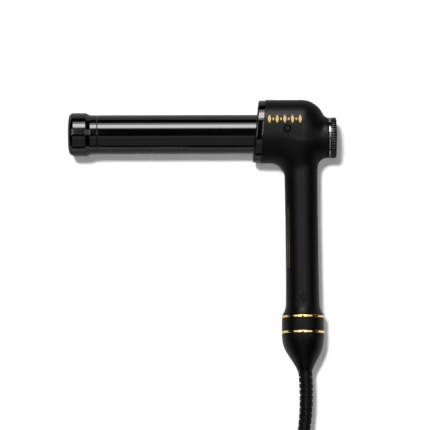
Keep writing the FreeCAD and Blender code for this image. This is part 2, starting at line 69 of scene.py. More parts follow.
MM = 0.001
TAU = 2 * math.pi

# ---- places read from the frame ----


def centre(node, axis):
    """Middle of a CAD node along one axis, in metres."""
    low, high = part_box(node)
    return (low[axis] + high[axis]) / 2


HEAD_HALF_H = 26.1  # half height of the head block
TAIL_X = 1.6  # axis of the gold rings, from the head's centre
TABLE_Z = -21.0  # the surface it lies on, from the wand's centre plane
HEAD_X = centre("gold_ring_upper", 0) - TAIL_X * MM
SWIVEL_X = (centre("swivel_collar", 0) - HEAD_X) / MM
AXIS_Z = centre("barrel_tube", 2)
BARREL_Y = centre("barrel_tube", 1)
DIAL_Y = centre("temp_dial", 1)
HEAD_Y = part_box("front_shell")[1][1] - HEAD_HALF_H * MM
DIAL_DROP = (DIAL_Y - HEAD_Y) / MM
BARREL_DROP = (BARREL_Y - HEAD_Y) / MM


def at(x, y, z):
    """Point in millimetres from the head's centre: X to the dial, Y up the handle, Z to the viewer."""
    return Vector((HEAD_X + x * MM, HEAD_Y + y * MM, AXIS_Z + z * MM))


def circle(steps):
    """Cosine and sine at equal steps round a circle."""
    return [(math.cos(TAU * j / steps), math.sin(TAU * j / steps)) for j in range(steps)]


# ---- camera ----
VIEW_CENTRE = at(-70.6, -69.4, 0.0)
VIEW_DISTANCE = 2.35
VIEW_ELEVATION = math.radians(84.0)
VIEW_ROLL = math.radians(0.14)
VIEW_WIDTH = 0.3553  # width of the frame at the wand, in metres


def add_object(name, data):
    """New object in the scene."""
    thing = bpy.data.objects.new(name, data)
    bpy.context.collection.objects.link(thing)
    return thing


def make_camera():
    """Long lens looking down on the table, as for a catalogue picture."""
    data = bpy.data.cameras.new("Camera")
    data.sensor_width = 36.0
    data.lens = data.sensor_width * VIEW_DISTANCE / VIEW_WIDTH
    data.clip_start = 0.05
    data.clip_end = 20.0
    camera = add_object("Camera", data)
    back = Vector((0, -math.cos(VIEW_ELEVATION), math.sin(VIEW_ELEVATION)))
    right = Vector((1, 0, 0))
    up = back.cross(right)
    basis = Matrix((right, up, back)).transposed().to_4x4()
    basis = basis @ Matrix.Rotation(-VIEW_ROLL, 4, "Z")
    basis.translation = VIEW_CENTRE + back * VIEW_DISTANCE
    camera.matrix_world = basis
    bpy.context.scene.camera = camera


make_camera()
bpy.context.scene.view_settings.view_transform = "Standard"

# ---- light and floor ----


def soft_panel(name, place, across, along, radiance):
    """Softbox seen only in reflections, facing the wand, its first side level with the barrel."""
    data = bpy.data.lights.new(name, "AREA")
    data.shape = "RECTANGLE"
    data.size = across
    data.size_y = along
    data.energy = radiance * math.pi * across * along
    light = add_object(name, data)
    back = (place - VIEW_CENTRE).normalized()
    right = (Vector((1, 0, 0)) - back * back.x).normalized()
    basis = Matrix((right, back.cross(right), back)).transposed().to_4x4()
    basis.translation = place
    light.matrix_world = basis
    light.visible_diffuse = False
    light.visible_camera = False


def from_wand(side, forward, distance):
    """Place above the wand, at two tilts from the vertical in degrees: to the right and to the back."""
    direction = Vector((math.tan(math.radians(side)), math.tan(math.radians(forward)), 1.0)).normalized()
    return VIEW_CENTRE + direction * distance


def sun(name, direction, energy, angle):
    """Distant light for diffuse shading and shadows only, left out of the reflections."""
    data = bpy.data.lights.new(name, "SUN")
    data.energy = energy
    data.angle = math.radians(angle)
    light = add_object(name, data)
    light.rotation_euler = Vector(direction).to_track_quat("-Z", "Y").to_euler()
    light.visible_glossy = False


def make_lights():
    """Key and fill for table and shadow, and softboxes for the reflections."""
    sun("Key", (0.19, -0.19, -1.0), 2.9, 8.5)
    sun("Fill", (0, math.cos(VIEW_ELEVATION), -math.sin(VIEW_ELEVATION)), 0.92, 0.5)
    soft_panel("BackStrip", from_wand(0, 43.5, 1.3), 0.50, 0.44, 10.8)
    soft_panel("BackGlow", from_wand(0, 46.5, 1.35), 0.56, 0.90, 3.3)
    soft_panel("FrontPanel", from_wand(0, -46, 1.6), 1.2, 1.95, 0.34)
    soft_panel("FrontStrip", from_wand(0, -22, 1.5), 1.2, 0.26, 0.25)
    soft_panel("LeftPanel", from_wand(-29, 9, 1.5), 1.15, 0.84, 1.1)
    soft_panel("RightPanel", from_wand(28.6, 9, 1.5), 1.18, 0.84, 1.1)
    soft_panel("LeftCore", from_wand(-13.5, 10.5, 1.5), 0.29, 0.72, 3.9)
    soft_panel("RightCore", from_wand(13.5, 10.5, 1.5), 0.29, 0.72, 3.9)


def make_world():
    """White surroundings, seen directly only."""
    world = bpy.data.worlds.new("World")
    bpy.context.scene.world = world
    world.use_nodes = True
    background = world.node_tree.nodes["Background"]
    background.inputs["Color"].default_value = (1, 1, 1, 1)
    background.inputs["Strength"].default_value = 1.0
    world.cycles_visibility.glossy = False
    world.cycles_visibility.diffuse = False


def add_node(tree, kind, **inputs):
    """New shader node with plain values for some of its inputs."""
    node = tree.nodes.new("ShaderNode" + kind)
    for name, value in inputs.items():
        node.inputs[name.replace("_", " ")].default_value = value
    return node


FLOOR_TONES = ((0.0, 0.75), (0.25, 0.5), (0.5, 0.25), (0.75, 0.25), (0.9, 0.42))  # along Y, in reflections


def make_floor():
    """Large pale table top, less bright where it shows in a reflection, least of all beside the barrel."""
    mesh = bpy.data.meshes.new("Floor")
    mesh.from_pydata([(-3, -3, 0), (3, -3, 0), (3, 3, 0), (-3, 3, 0)], [], [(0, 1, 2, 3)])
    floor = add_object("Floor", mesh)
    material = bpy.data.materials.new("Floor")
    material.use_nodes = True
    tree = material.node_tree
    shader = tree.nodes["Principled BSDF"]
    tone = add_node(tree, "Mix")
    tone.data_type = "RGBA"
    tone.inputs["A"].default_value = (0.92, 0.92, 0.92, 1)
    place = add_node(tree, "SeparateXYZ")
    reach = add_node(tree, "MapRange", From_Min=-0.05, From_Max=0.15)
    ramp = add_node(tree, "ValToRGB")
    ramp.color_ramp.elements.remove(ramp.color_ramp.elements[1])
    for position, level in FLOOR_TONES:
        stop = ramp.color_ramp.elements.new(position) if position > 0 else ramp.color_ramp.elements[0]
        stop.color = (level, level, level, 1)
    tree.links.new(add_node(tree, "NewGeometry").outputs["Position"], place.inputs[0])
    tree.links.new(place.outputs["Y"], reach.inputs["Value"])
    tree.links.new(reach.outputs["Result"], ramp.inputs["Fac"])
    tree.links.new(ramp.outputs["Color"], tone.inputs["B"])
    tree.links.new(add_node(tree, "LightPath").outputs["Is Glossy Ray"], tone.inputs["Factor"])
    tree.links.new(tone.outputs["Result"], shader.inputs["Base Color"])
    shader.inputs["Roughness"].default_value = 0.8
    shader.inputs["Specular IOR Level"].default_value = 0.0
    mesh.materials.append(material)


make_lights()
make_world()
make_floor()

# ---- materials ----


class Nodes:
    """Short hand for building one material's node tree, in object coordinates."""

    def __init__(self, name):
        self.material = bpy.data.materials.new(name)
        self.material.use_nodes = True
        self.tree = self.material.node_tree
        self.shader = self.tree.nodes["Principled BSDF"]
        self.place = add_node(self.tree, "TexCoord").outputs["Object"]

    def set(self, **values):
        """Plain values of shader inputs."""
        for name, value in values.items():
            self.shader.inputs[name.replace("_", " ")].default_value = value

    def noise(self, scale, detail=3.0, roughness=0.5, stretch=None):
        """Noise texture, with its own scale along each axis where a stretch is given."""
        place = self.place
        if stretch is not None:
            mapping = add_node(self.tree, "Mapping", Scale=stretch)
            self.tree.links.new(place, mapping.inputs["Vector"])
            place = mapping.outputs["Vector"]
        node = add_node(self.tree, "TexNoise", Scale=scale, Detail=detail, Roughness=roughness)
        self.tree.links.new(place, node.inputs["Vector"])
        return node.outputs["Fac"]

    def spread(self, value, low, high):
        """The middle of a noise's range spread over two values."""
        node = add_node(self.tree, "MapRange", From_Min=0.3, From_Max=0.7, To_Min=low, To_Max=high)
        self.tree.links.new(value, node.inputs["Value"])
        return node.outputs["Result"]

    def link(self, value, name):
        """Feed a shader input."""
        self.tree.links.new(value, self.shader.inputs[name])

    def tint(self, value, dark, light):
        """Base colour that wanders between two tones."""
        value = self.spread(value, 0.0, 1.0)
        node = add_node(self.tree, "Mix")
        node.data_type = "RGBA"
        node.inputs["A"].default_value = (*dark, 1)
        node.inputs["B"].default_value = (*light, 1)
        self.tree.links.new(value, node.inputs["Factor"])
        self.link(node.outputs["Result"], "Base Color")

    def bump(self, value, height, strength):
        """Relief of a height in metres."""
        node = add_node(self.tree, "Bump", Distance=height, Strength=strength)
        self.tree.links.new(value, node.inputs["Height"])
        self.tree.links.new(node.outputs["Normal"], self.shader.inputs["Normal"])


def gold_paint():
    """Gold foil print: satin, lightly mottled."""
    m = Nodes("gold_print")
    fleck = m.noise(1400.0, 3.0, 0.6)
    m.tint(fleck, (0.50, 0.33, 0.085), (0.72, 0.51, 0.16))
    m.link(m.spread(fleck, 0.42, 0.55), "Roughness")
    m.set(Specular_IOR_Level=0.25)
    m.bump(fleck, 0.000004, 0.3)
    return m.material


def gloss_black(name, roughness, ripple):
    """Polished black moulding or coating with faint smears and a very shallow ripple."""
    m = Nodes(name)
    smear = m.noise(38.0, 5.0, 0.65, (0.4, 1.0, 1.0))
    m.tint(smear, (0.0008, 0.0008, 0.0009), (0.0016, 0.0016, 0.0018))
    m.link(m.spread(smear, roughness * 0.8, roughness * 1.3), "Roughness")
    m.bump(m.noise(160.0, 2.0), ripple, 0.6)
    return m.material


def polished_metal(name, dark, light, roughness, stretch):
    """Turned and polished metal with fine lines round the axis."""
    m = Nodes(name)
    lines = m.noise(900.0, 3.0, 0.6, stretch)
    m.set(Metallic=1.0)
    m.tint(m.noise(60.0), dark, light)
    m.link(m.spread(lines, roughness * 0.7, roughness * 1.5), "Roughness")
    m.bump(lines, 0.000003, 0.4)
    return m.material


def plastic(name, dark, light, roughness, grain, shine=0.3, scales=(120.0, 3000.0), relief=0.5):
    """Moulded or painted plastic; the scales are those of its cloudiness and of its grain."""
    m = Nodes(name)
    cloud = m.noise(scales[0], 4.0, 0.6)
    m.tint(cloud, dark, light)
    m.link(m.spread(cloud, *roughness), "Roughness")
    m.set(Specular_IOR_Level=shine)
    m.bump(m.noise(scales[1], 2.0), grain, relief)
    return m.material


SOFT = plastic("soft_touch_black", (0.0008, 0.0008, 0.0009), (0.0016, 0.0016, 0.0017), (0.35, 0.39),
               0.000012, 0.15, (45.0, 5200.0), 0.4)
DIAL = plastic("satin_dial", (0.0010, 0.0010, 0.0011), (0.0018, 0.0018, 0.0019), (0.17, 0.22),
               0.000004, 0.8, (90.0, 4000.0), 0.4)
PRINT = gold_paint()
GLOSS = gloss_black("gloss_black", 0.07, 0.000005)
COATING = gloss_black("barrel_coating", 0.065, 0.000006)
LENS = gloss_black("smoked_lens", 0.04, 0.000002)
GOLD = polished_metal("gold", (0.92, 0.65, 0.21), (0.99, 0.75, 0.30), 0.16, (0.05, 8.0, 0.05))
CHROME = polished_metal("bright_chrome", (0.28, 0.28, 0.29), (0.34, 0.34, 0.35), 0.10, (0.3, 0.3, 0.3))
CORD = plastic("cord_rubber", (0.0008, 0.0008, 0.0009), (0.0016, 0.0016, 0.0017), (0.357, 0.483),
               0.00001, 0.14)
TIE = plastic("tie_rubber", (0.008, 0.008, 0.0085), (0.013, 0.013, 0.0135), (0.51, 0.69), 0.00002)
GREY = plastic("button_grey", (0.20, 0.20, 0.205), (0.27, 0.27, 0.275), (0.3825, 0.5175), 0.00001)
SEGMENT = plastic("segment_grey", (0.030, 0.030, 0.032), (0.040, 0.040, 0.042), (0.2975, 0.4025),
                  0.000002)
BLADE = polished_metal("nickel_blade", (0.62, 0.60, 0.56), (0.72, 0.70, 0.66), 0.22, (0.2, 6.0, 6.0))
# Painted shade: near black and without specular, laid on the dial's groove faces and on the cap's dimples.
PAINTED_SHADE = plastic("painted_shade_black", (0.0002, 0.0002, 0.0002), (0.0005, 0.0005, 0.0005), (0.765, 1.035),
              0.000002, 0.0)

# ---- mesh helpers ----


def place_mesh(name, mesh, material, body, sharp):
    """Object for a mesh, smooth except at edges sharper than the angle given."""
    mesh.materials.append(material)
    for polygon in mesh.polygons:
        polygon.use_smooth = True
    mesh.set_sharp_from_angle(angle=math.radians(sharp))
    mesh.validate()
    mesh.update()
    piece = add_object(name, mesh)
    if body is not None:
        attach(piece, body)
    return piece


def add_piece(name, verts, faces, material, body, sharp=30.0):
    """Piece made of points and faces; the body is None where the piece bends between two bodies."""
    mesh = bpy.data.meshes.new(name)
    mesh.from_pydata([tuple(v) for v in verts], [], [tuple(f) for f in faces])
    return place_mesh(name, mesh, material, body, sharp)


def rings_to_faces(rings, around, closed_start=False, closed_end=False):
    """Quads between equal rings of points, with end caps where asked."""
    faces = []
    for i in range(rings - 1):
        for j in range(around):
            k = (j + 1) % around
            faces.append((i * around + j, i * around + k, (i + 1) * around + k, (i + 1) * around + j))
    if closed_start:
        faces.append(tuple(reversed(range(around))))
    if closed_end:
        faces.append(tuple((rings - 1) * around + j for j in range(around)))
    return faces


def arc(x, r, radius, start, end, steps=6):
    """Points (x, r) along an arc; angles in degrees from the +r direction towards +x."""
    points = []
    for i in range(steps + 1):
        angle = math.radians(start + (end - start) * i / steps)
        points.append((x + radius * math.sin(angle), r + radius * math.cos(angle)))
    return points


def steadied(profile):
    """Adds a point near each end of a run beside a much shorter one, so that the run shades straight."""
    close = 0.04
    much_shorter = 0.3
    lengths = [math.dist(a, b) for a, b in zip(profile, profile[1:])]
    points = [profile[0]]
    for i, length in enumerate(lengths):
        a = Vector(profile[i])
        b = Vector(profile[i + 1])
        if i > 0 and 0 < lengths[i - 1] < much_shorter * length:
            points.append(tuple(a.lerp(b, close / length)))
        if i + 1 < len(lengths) and 0 < lengths[i + 1] < much_shorter * length:
            points.append(tuple(b.lerp(a, close / length)))
        points.append(profile[i + 1])
    return points


def lathe(name, profile, axis, origin, material, body, around=160, sharp=30.0):
    """Turned piece; profile points are (along, radius) in mm, and an open profile gets flat ends."""
    verts = []
    profile = steadied(profile)
    for along, radius in profile:
        for c, s in circle(around):
            c *= radius
            s *= radius
            local = (along, c, s) if axis == "x" else (s, along, c) if axis == "y" else (c, s, along)
            verts.append(origin + Vector(local) * MM)
    loop = profile[0] == profile[-1]
    flat_ends = [not loop and radius > 0 for _, radius in (profile[0], profile[-1])]
    faces = rings_to_faces(len(profile), around, *flat_ends)
    piece = add_piece(name, verts, faces, material, body, sharp)
    weld(piece)
    return piece


def weld(piece):
    """Merge coincident points and make the normals agree."""
    distance = 0.000002
    bm = bmesh.new()
    bm.from_mesh(piece.data)
    bmesh.ops.remove_doubles(bm, verts=bm.verts, dist=distance)
    bmesh.ops.dissolve_degenerate(bm, edges=bm.edges, dist=distance / 2)
    bmesh.ops.recalc_face_normals(bm, faces=bm.faces)
    bm.to_mesh(piece.data)
    bm.free()


# ---- shell: one smooth surface for head and handle ----
# Working numbers here are millimetres in the coordinates of at().
HEAD_HALF_D = 21.0
HEAD_POWER = 2.3  # of the superellipse that is the head's section
HEAD_END_R = 19.4  # rounding of the dial end
HEAD_FLAT_END = 1.2  # where that rounding starts
NECK_R = 16.6
NECK_END = 23.55
NECK_SEAM = 22.55
HEAD_FILLET = 3.5  # between head and neck
GRIP_FILLET = 10.0  # between head and grip, wider towards the barrel
GRIP_R = 13.9
WAIST_R = 13.42
WAIST_Y = -82.0
FLARE_TOP = -143.0
FLARE_R = 17.2
SHELL_END = -152.8
COLLAR_FRONT = -36.8
COLLAR_BACK = -30.6
FRONT_SLANT = math.radians(5.5)
BACK_SLANT = math.radians(4.6)
SPLIT_GAP = 0.10
NET_LOW = (-44, -159, -24)
NET_HIGH = (27, 30, 24)
NET_PITCH = 1.25
# Screw recesses: x, y, radius, width of the ring left open round the plug, crown of the plug.
SCREWS = ((-10.9, -0.2, 3.15, 0.9, 0.01), (2.4, -138.6, 2.85, 0.42, 0.0))


def section_distance(y, z, half_h, half_d):
    """Signed distance, close to the surface, from a superellipse section."""
    ay = np.abs(y) / half_h + 1e-6
    az = np.abs(z) / half_d + 1e-6
    rho = (ay ** HEAD_POWER + az ** HEAD_POWER) ** (1 / HEAD_POWER)
    slope_y = ay ** (HEAD_POWER - 1) / half_h
    slope_z = az ** (HEAD_POWER - 1) / half_d
    slope = np.sqrt(slope_y ** 2 + slope_z ** 2) * rho ** (1 - HEAD_POWER)
    return (rho - 1) / np.maximum(slope, 1e-3)


def fillet_union(a, b, radius):
    """Union of two distances with a round fillet between them."""
    corner = np.sqrt(np.maximum(radius - a, 0) ** 2 + np.maximum(radius - b, 0) ** 2)
    return np.maximum(radius, np.minimum(a, b)) - corner


def grip_radius(y):
    """Radius of the waisted grip and of its flare at height y."""
    waist = np.minimum(WAIST_R + 0.43 * ((y - WAIST_Y) / 61.0) ** 2, GRIP_R)
    flare = np.clip((FLARE_TOP - y) / 9.8, 0, 1.6)
    return waist + (FLARE_R - GRIP_R) * flare ** 2.0


def lean(y):
    """Sideways place of the handle's centre line, which leans a little towards the dial."""
    return 0.4 - 0.0077 * y


def shell_field(p):
    """Distance field of the whole outer surface of head, dial neck and handle."""
    x, y, z = p[:, 0], p[:, 1], p[:, 2]
    side = section_distance(y, z, HEAD_HALF_H, HEAD_HALF_D)
    end = x - (HEAD_FLAT_END + HEAD_END_R)
    reach = np.sqrt(np.maximum(side + HEAD_END_R, 0) ** 2 + np.maximum(end + HEAD_END_R, 0) ** 2)
    block = reach - HEAD_END_R + np.minimum(np.maximum(side, end) + HEAD_END_R, 0)
    neck = np.maximum(np.sqrt((y - DIAL_DROP) ** 2 + z ** 2) - NECK_R, -x)
    head = fillet_union(block, neck, HEAD_FILLET)
    grip = np.maximum(np.sqrt((x - lean(y)) ** 2 + z ** 2) - grip_radius(y), y + 16.0)
    return fillet_union(head, grip, GRIP_FILLET - 1.0 * np.tanh(x / 5.0))


def settle(points, field, rounds):
    """Move points onto the zero surface of a field along its gradient."""
    step = 0.01
    for _ in range(rounds):
        value = field(points)
        slope = np.empty_like(points)
        for axis in range(3):
            shift = np.zeros(3)
            shift[axis] = step
            slope[:, axis] = (field(points + shift) - field(points - shift)) / (2 * step)
        points = points - slope * (value / np.maximum((slope ** 2).sum(1), 0.05))[:, None]
    return points


def surface_net(field, low, high, pitch):
    """Closed quad mesh of a field's zero surface."""
    axes = [np.arange(low[i], high[i] + pitch, pitch) for i in range(3)]
    grid = np.stack(np.meshgrid(*axes, indexing="ij"), -1)
    shape = grid.shape[:3]
    value = field(grid.reshape(-1, 3)).reshape(shape)
    inside = value < 0
    cells = np.zeros([n - 1 for n in shape], int)
    for dx in (0, 1):
        for dy in (0, 1):
            for dz in (0, 1):
                cells += inside[dx:shape[0] - 1 + dx, dy:shape[1] - 1 + dy, dz:shape[2] - 1 + dz]
    active = (cells > 0) & (cells < 8)
    index = np.full(active.shape, -1)
    index[active] = np.arange(active.sum())
    points = np.array(low) + (np.argwhere(active) + 0.5) * pitch
    faces = []
    for axis in range(3):
        a = np.take(inside, range(shape[axis] - 1), axis)
        b = np.take(inside, range(1, shape[axis]), axis)
        u, w = [i for i in range(3) if i != axis]
        for spot in np.argwhere(a != b):
            if spot[u] == 0 or spot[w] == 0 or spot[u] >= shape[u] - 1 or spot[w] >= shape[w] - 1:
                continue
            quad = []
            for du, dw in ((-1, -1), (0, -1), (0, 0), (-1, 0)):
                cell = spot.copy()
                cell[u] += du
                cell[w] += dw
                quad.append(index[tuple(cell)])
            outward = a[tuple(spot)] != (axis == 1)
            faces.append(quad if outward else quad[::-1])
    return points, faces


def relax(points, faces, field):
    """Even out a net while keeping it on the surface."""
    faces = np.array(faces)
    ends = np.concatenate([faces, faces[:, [1, 2, 3, 0]]]).reshape(2, -1)
    for _ in range(6):
        total = np.zeros_like(points)
        count = np.zeros(len(points))
        for a, b in ((ends[0], ends[1]), (ends[1], ends[0])):
            np.add.at(total, a, points[b])
            np.add.at(count, a, 1)
        points = settle(0.4 * points + 0.6 * total / count[:, None], field, 2)
    return settle(points, field, 4)


def surface_height(x, y):
    """Height of the front surface over the centre plane."""
    low = np.zeros(len(x))
    high = np.full(len(x), 30.0)
    for _ in range(30):
        middle = (low + high) / 2
        inside = shell_field(np.stack([x, y, middle], 1)) < 0
        low = np.where(inside, middle, low)
        high = np.where(inside, high, middle)
    return (low + high) / 2


def slice_mesh(bm, point, normal, remove):
    """Add an edge loop on a plane, and remove what lies on its normal's side if asked."""
    geometry = bm.verts[:] + bm.edges[:] + bm.faces[:]
    bmesh.ops.bisect_plane(bm, geom=geometry, plane_co=point, plane_no=normal, dist=0.0005,
                           clear_outer=remove)


def turn_rims_in(bm, depth, softness):
    """Give open rims a rounded corner and a lip that runs inwards."""
    bm.normal_update()
    normals = {v: v.normal.copy() for v in bm.verts if v.is_boundary}
    rim = [e for e in bm.edges if e.is_boundary]
    new = bmesh.ops.extrude_edge_only(bm, edges=rim)["geom"]
    fresh = [g for g in new if isinstance(g, bmesh.types.BMVert)]
    for vert in fresh:
        old = next(e.other_vert(vert) for e in vert.link_edges if e.other_vert(vert) in normals)
        vert.co -= normals[old] * depth
    bmesh.ops.bevel(bm, geom=rim, offset=softness, segments=3, profile=0.5, affect="EDGES")


def shells():
    """Front and rear soft-touch shells, split along the centre plane."""
    points, faces = surface_net(shell_field, NET_LOW, NET_HIGH, NET_PITCH)
    points = relax(points, faces, shell_field)
    for name, node, side in (("front_skin", "front_shell", 1.0), ("rear_skin", "rear_shell", -1.0)):
        bm = bmesh.new()
        verts = [bm.verts.new(p) for p in points]
        for face in faces:
            bm.faces.new([verts[i] for i in face])
        back_normal = Vector((-math.cos(BACK_SLANT), math.sin(BACK_SLANT), 0))
        planes = [(Vector((COLLAR_BACK, 0, 0)), back_normal),
                  (Vector((NECK_SEAM, 0, 0)), Vector((1, 0, 0))),
                  (Vector((0, SHELL_END, 0)), Vector((0, -1, 0))),
                  (Vector((0, 0, side * SPLIT_GAP)), Vector((0, 0, -side)))]
        for point, normal in planes:
            slice_mesh(bm, point - normal * 0.6, normal, remove=False)
            slice_mesh(bm, point, normal, remove=True)
        if side > 0:
            for x, y, radius, _, _ in SCREWS:
                cut_round_hole(bm, x, y, radius)
        turn_rims_in(bm, depth=1.4, softness=0.16)
        mesh = bpy.data.meshes.new(name)
        for vert in bm.verts:
            vert.co = at(*vert.co)
        bmesh.ops.recalc_face_normals(bm, faces=bm.faces)
        bm.to_mesh(mesh)
        bm.free()
        piece = place_mesh(name, mesh, SOFT, "wand", 40)
        weighted = piece.modifiers.new("Weighted", "WEIGHTED_NORMAL")
        weighted.keep_sharp = True
        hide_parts(node)


def front_faces(bm, x, y, radius):
    """Faces of the front surface with their middle within a radius of (x, y)."""
    middles = [(face, face.calc_center_median()) for face in bm.faces]
    return [face for face, middle in middles
            if middle.z > 2 and (middle.xy - Vector((x, y))).length < radius]


def cut_round_hole(bm, x, y, radius):
    """Round opening straight down through the front surface."""
    for c, s in circle(24):
        normal = Vector((c, s, 0))
        near = front_faces(bm, x, y, radius + 3)
        geometry = list({v for f in near for v in f.verts}) + list({e for f in near for e in f.edges})
        geometry += near
        bmesh.ops.bisect_plane(bm, geom=geometry, plane_co=Vector((x, y, 0)) + normal * radius,
                               plane_no=normal, dist=0.0005)
    bmesh.ops.delete(bm, geom=front_faces(bm, x, y, radius), context="FACES")


def screw_plugs():
    """Plugs in the round recesses over the screws, each with a deep V ring left open round it."""
    for i, (x, y, radius, gap, crown) in enumerate(SCREWS):
        height = float(surface_height(np.array([x]), np.array([y]))[0])
        r = radius - gap
        profile = [(-3.6, 0.0), (-3.6, radius - 0.15), (-3.4, radius + 0.15), (-1.0, radius + 0.15),
                   (-3.4, r + 0.28 * gap), (-3.3, r), (-0.42, r), (-0.28, r - 0.06), (-0.22, r - 0.2),
                   (-0.16 + crown, r - 1.05), (-0.15 + crown, 0.0)]
        plug = lathe("screw_plug_%d" % (i + 1), profile, "z", at(x, y, height), SOFT, "wand", 64)
        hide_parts("screw_plugs")


# ---- collar, barrel and tip ----
BARREL_R = 15.875
BARREL_START = -167.3  # the groove before the tip
BARREL_END = -33.0  # inside the collar
BEAD_R = 17.7  # of the cool tip
NECK_TILT = math.radians(27.0)  # steepest part of the tip's neck


def bulged(value, power):
    """Power of a cosine or sine that keeps its sign, for superellipses."""
    return math.copysign(abs(value) ** power, value)


def collar():
    """Polished collar with slanted faces, rounded at the front, open for the barrel."""
    around = 192
    thickness = 6.1
    rounding = 1.5
    below_head = 0.45
    opening_r = BARREL_R + 0.075
    opening = (0.0, -9.6)
    steps = [opening, (0.0, -1.6)]
    steps += arc(rounding, -rounding, rounding, -75, 0, 5)
    steps += [(3.0, 0.0), (5.2, 0.0), (5.95, -0.05), (thickness, -0.25), (thickness, -3.0)]
    verts = []
    for along, inset in steps:
        fraction = along / thickness
        slant = FRONT_SLANT + (BACK_SLANT - FRONT_SLANT) * fraction
        for c, s in circle(around):
            y = (HEAD_HALF_H - below_head + inset) * bulged(c, 2 / HEAD_POWER)
            z = (HEAD_HALF_D - below_head + inset) * bulged(s, 2 / HEAD_POWER)
            if (along, inset) == opening:
                length = math.hypot(y - BARREL_DROP, z)
                y = BARREL_DROP + (y - BARREL_DROP) * opening_r / length
                z = z * opening_r / length
            x = COLLAR_FRONT + (COLLAR_BACK - COLLAR_FRONT) * fraction + math.tan(slant) * y
            verts.append(at(x, y, z))
    faces = rings_to_faces(len(steps), around)
    piece = add_piece("collar_skin", verts, faces, GLOSS, "wand", 45)
    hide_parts("heat_collar")


def barrel():
    """Glossy barrel tube."""
    r = BARREL_R
    profile = [(-167.55, r - 1.1), (-167.62, r - 0.3), (-167.5, r - 0.08), (BARREL_START, r)]
    profile += [(BARREL_START + (BARREL_END - BARREL_START) * (i + 1) / 12, r) for i in range(12)]
    profile += [(BARREL_END, r - 1.1)]
    piece = lathe("barrel_skin", profile, "x", at(0, BARREL_DROP, 0), COATING, "wand", 256)
    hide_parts("barrel_tube")


def tip():
    """Cool tip: shallow dome, round bead, straight-sided neck down to the barrel's size."""
    r = BARREL_R
    edge_r = 4.0
    shoulder_r = 1.5
    hollow_r = 4.0
    profile = [(-192.3, 0.0), (-192.28, 3.0), (-192.2, 6.0), (-192.05, 9.0), (-191.85, 11.5),
               (-191.55, 13.0)]
    profile += arc(-187.5, BEAD_R - edge_r, edge_r, -78, 0, 8)
    profile += [(-184.5, BEAD_R), (-181.0, BEAD_R)]
    profile += [(-177.7 + shoulder_r * math.sin(a), BEAD_R - shoulder_r + shoulder_r * math.cos(a))
                for a in np.linspace(0.0, NECK_TILT, 5)]
    profile += [(-172.8 - hollow_r * math.sin(a), r + hollow_r - hollow_r * math.cos(a))
                for a in np.linspace(NECK_TILT, 0.0, 7)]
    profile += [(-170.0, r), (-168.2, r), (-168.0, r - 0.06), (-167.9, r - 0.25), (-167.9, r - 1.2)]
    piece = lathe("tip_skin", profile, "x", at(0, BARREL_DROP, 0), GLOSS, "wand", 256)
    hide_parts("barrel_tip")


# ---- dial end ----
TRIM_R = 16.65
DIAL_R = 16.7
DIAL_FACE = 30.0
TEETH = 48
TOOTH_SAMPLES = 20
CREST_R = 1.15  # round top of a tooth
CREST_HALF_W = 0.58
GROOVE_SLOPE = 1.9
BEZEL_R = 13.12
BUTTON_DROP = -6.2  # button below the middle of the dial


def trim_ring():
    """Soft-touch end ring of the neck, then the bright ring between neck and dial."""
    start = NECK_SEAM + 0.3
    bore_r = 14.0
    r = NECK_R
    profile = [(start, bore_r), (start, r - 0.2), (start + 0.08, r - 0.05), (start + 0.25, r),
               (NECK_END - 0.15, r), (NECK_END - 0.03, r - 0.05), (NECK_END, r - 0.2),
               (NECK_END, bore_r), (start, bore_r)]
    lathe("neck_ring", profile, "x", at(0, DIAL_DROP, 0), SOFT, "wand", 192)
    r = TRIM_R
    profile = [(23.75, 13.4), (23.75, r - 0.14), (23.79, r - 0.04), (23.89, r), (25.01, r),
               (25.11, r - 0.04), (25.15, r - 0.14), (25.15, 13.4), (23.75, 13.4)]
    piece = lathe("trim_skin", profile, "x", at(0, DIAL_DROP, 0), CHROME, "wand", 192)
    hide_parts("dial_trim_ring")


def from_crest(step):
    """Distance along the rim from the middle of the nearest tooth, for a step round the dial."""
    return abs((step % TOOTH_SAMPLES) / TOOTH_SAMPLES - 0.5) * TAU * DIAL_R / TEETH


def tooth_drop(away):
    """Depth below the rim at a distance from a tooth's middle: a round crest, then a steep wall."""
    within = min(away, CREST_HALF_W)
    return CREST_R - math.sqrt(CREST_R ** 2 - within ** 2) + GROOVE_SLOPE * (away - within)


def dial():
    """Knurled ring with round teeth between steep grooves, painted shade on the groove faces, and a turned
    face.
    """
    around = TEETH * TOOTH_SAMPLES
    r = DIAL_R
    knurled_rows = range(6, 11)
    # Along the axis, radius, share of the knurl's depth.
    rows = [(25.5, 14.0, 0), (25.5, r - 0.4, 0), (25.56, r - 0.15, 0), (25.7, r - 0.02, 0), (25.9, r, 0),
            (26.0, r, 0.3), (26.08, r, 0.85), (26.2, r, 1), (28.9, r, 1), (29.35, r - 0.12, 1),
            (29.62, r - 0.4, 0.9), (29.82, r - 0.8, 0.45), (29.95, r - 1.4, 0), (30.0, r - 1.75, 0),
            (30.0, 13.9, 0), (29.9, 13.45, 0), (29.6, 13.22, 0), (26.5, 13.22, 0)]
    verts = []
    for x, radius, depth in rows:
        for j, (c, s) in enumerate(circle(around)):
            local = radius - tooth_drop(from_crest(j)) * depth
            verts.append(at(x, DIAL_DROP + local * c, local * s))
    piece = add_piece("dial_skin", verts, rings_to_faces(len(rows), around), DIAL, "dial", 35)
    # Painted shade: faces in the grooves of the knurl get the near-black material without specular.
    piece.data.materials.append(PAINTED_SHADE)
    for polygon in piece.data.polygons:
        row, column = divmod(polygon.index, around)
        if row in knurled_rows and from_crest(column + 0.5) > CREST_HALF_W:
            polygon.material_index = 1
    weld(piece)
    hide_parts("temp_dial")


